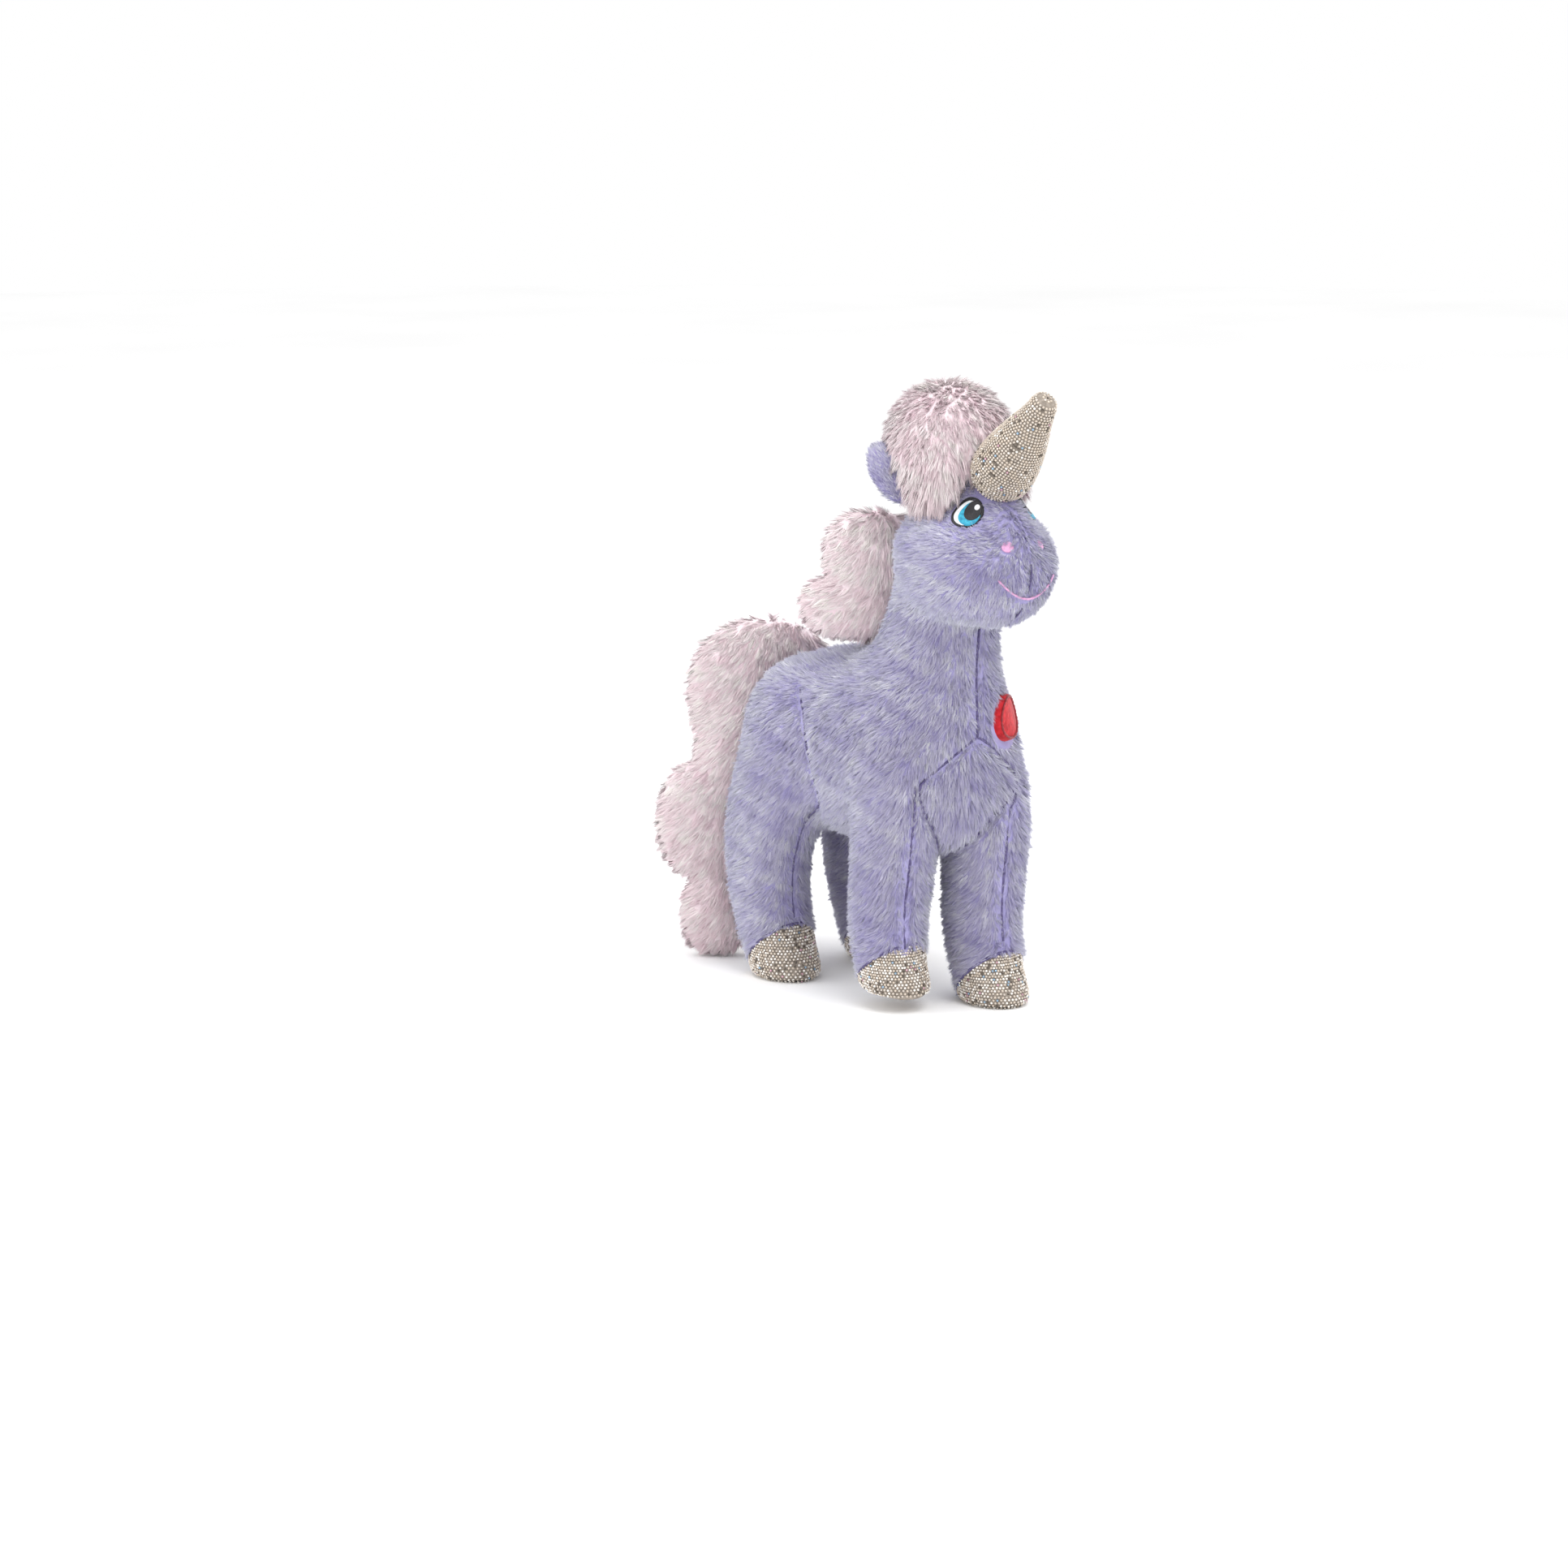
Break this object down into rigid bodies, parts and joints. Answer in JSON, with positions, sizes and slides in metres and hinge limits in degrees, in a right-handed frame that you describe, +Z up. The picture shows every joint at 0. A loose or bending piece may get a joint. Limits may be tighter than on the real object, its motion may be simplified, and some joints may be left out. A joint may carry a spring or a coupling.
{
  "type": "plush unicorn",
  "caption": "Standing plush unicorn with a lavender pile body, a pink forelock, mane and tail, an embroidered face, and a metallic knit horn and hooves.",
  "frame": {"origin": "on the floor, under the middle of the whole toy's box", "axes": "+Z up, the face looks along -Y, +X is the unicorn's left side"},
  "size_m": [0.093, 0.2011, 0.2553],
  "materials": {
    "lavender_plush": "short pile plush, about 5 mm, brushed",
    "pink_plush": "longer pile plush, about 8 mm, soft",
    "metallic_knit": "beige silver knit with metallic specks",
    "fibre_filling": "loose polyester fibre",
    "white_thread": "satin embroidery",
    "blue_thread": "satin embroidery",
    "black_thread": "satin embroidery",
    "rose_thread": "satin embroidery",
    "red_felt": "felt",
    "label_ribbon": "woven satin ribbon"
  },
  "bodies": {
    "torso": {"torso_skin_left": "lavender_plush", "torso_skin_right": "lavender_plush", "belly_gusset": "lavender_plush", "torso_stuffing": "fibre_filling", "chest_patch": "red_felt", "care_label": "label_ribbon"},
    "head": {"head_skin_left": "lavender_plush", "head_skin_right": "lavender_plush", "head_stuffing": "fibre_filling", "forelock_cover": "pink_plush", "forelock_stuffing": "fibre_filling", "eye_left_lid": "black_thread", "eye_left_white": "white_thread", "eye_left_iris": "blue_thread", "eye_left_pupil": "black_thread", "eye_left_glint": "white_thread", "eye_right_lid": "black_thread", "eye_right_white": "white_thread", "eye_right_iris": "blue_thread", "eye_right_pupil": "black_thread", "eye_right_glint": "white_thread", "nostril_left": "rose_thread", "nostril_right": "rose_thread", "mouth": "rose_thread"},
    "horn": {"horn_cover": "metallic_knit", "horn_stuffing": "fibre_filling"},
    "ear_left": {"ear_left_back": "lavender_plush", "ear_left_lining": "pink_plush"},
    "ear_right": {"ear_right_back": "lavender_plush", "ear_right_lining": "pink_plush"},
    "mane": {"mane_panel_left": "pink_plush", "mane_panel_right": "pink_plush", "mane_stuffing": "fibre_filling"},
    "tail": {"tail_panel_left": "pink_plush", "tail_panel_right": "pink_plush", "tail_stuffing": "fibre_filling"},
    "leg_front_left": {"leg_front_left_outer_panel": "lavender_plush", "leg_front_left_inner_panel": "lavender_plush", "leg_front_left_stuffing": "fibre_filling", "hoof_front_left_cap": "metallic_knit", "hoof_front_left_sole": "metallic_knit"},
    "leg_front_right": {"leg_front_right_outer_panel": "lavender_plush", "leg_front_right_inner_panel": "lavender_plush", "leg_front_right_stuffing": "fibre_filling", "hoof_front_right_cap": "metallic_knit", "hoof_front_right_sole": "metallic_knit"},
    "leg_rear_left": {"leg_rear_left_outer_panel": "lavender_plush", "leg_rear_left_inner_panel": "lavender_plush", "leg_rear_left_stuffing": "fibre_filling", "hoof_rear_left_cap": "metallic_knit", "hoof_rear_left_sole": "metallic_knit"},
    "leg_rear_right": {"leg_rear_right_outer_panel": "lavender_plush", "leg_rear_right_inner_panel": "lavender_plush", "leg_rear_right_stuffing": "fibre_filling", "hoof_rear_right_cap": "metallic_knit", "hoof_rear_right_sole": "metallic_knit"}
  },
  "joints": [
    {"name": "head_turn", "type": "hinge", "parent": "torso", "child": "head", "pos_m": [0.0044, -0.037, 0.165], "axis": [0, 0, 1], "range_deg": [-18, 18], "stiffness_Nm_per_rad": 0.15},
    {"name": "horn_nod", "type": "hinge", "parent": "head", "child": "horn", "pos_m": [0.0044, -0.069, 0.219], "axis": [1, 0, 0], "range_deg": [-10, 10], "stiffness_Nm_per_rad": 0.05},
    {"name": "ear_left_fold", "type": "hinge", "parent": "head", "child": "ear_left", "pos_m": [0.0209, -0.032, 0.208], "axis": [-0.6586, -0.5052, 0.5577], "range_deg": [-20, 20], "stiffness_Nm_per_rad": 0.01},
    {"name": "ear_right_fold", "type": "hinge", "parent": "head", "child": "ear_right", "pos_m": [-0.0121, -0.032, 0.208], "axis": [-0.6586, 0.5052, -0.5577], "range_deg": [-20, 20], "stiffness_Nm_per_rad": 0.01},
    {"name": "mane_flop", "type": "hinge", "parent": "torso", "child": "mane", "pos_m": [0.0044, -0.006, 0.172], "axis": [0, 0, 1], "range_deg": [-8, 8], "stiffness_Nm_per_rad": 0.03},
    {"name": "tail_swing", "type": "hinge", "parent": "torso", "child": "tail", "pos_m": [0.0044, 0.065, 0.112], "axis": [0, 0, 1], "range_deg": [-50, 0], "stiffness_Nm_per_rad": 0.03},
    {"name": "leg_front_left_swing", "type": "hinge", "parent": "torso", "child": "leg_front_left", "pos_m": [0.0234, -0.039, 0.09], "axis": [1, 0, 0], "range_deg": [-10, 10], "stiffness_Nm_per_rad": 1},
    {"name": "leg_front_right_swing", "type": "hinge", "parent": "torso", "child": "leg_front_right", "pos_m": [-0.0146, -0.032, 0.0968], "axis": [1, 0, 0], "range_deg": [-10, 8], "stiffness_Nm_per_rad": 1},
    {"name": "leg_rear_left_swing", "type": "hinge", "parent": "torso", "child": "leg_rear_left", "pos_m": [0.0294, 0.048, 0.092], "axis": [1, 0, 0], "range_deg": [-10, 10], "stiffness_Nm_per_rad": 1},
    {"name": "leg_rear_right_swing", "type": "hinge", "parent": "torso", "child": "leg_rear_right", "pos_m": [-0.0206, 0.048, 0.092], "axis": [1, 0, 0], "range_deg": [-10, 4], "stiffness_Nm_per_rad": 1}
  ]
}
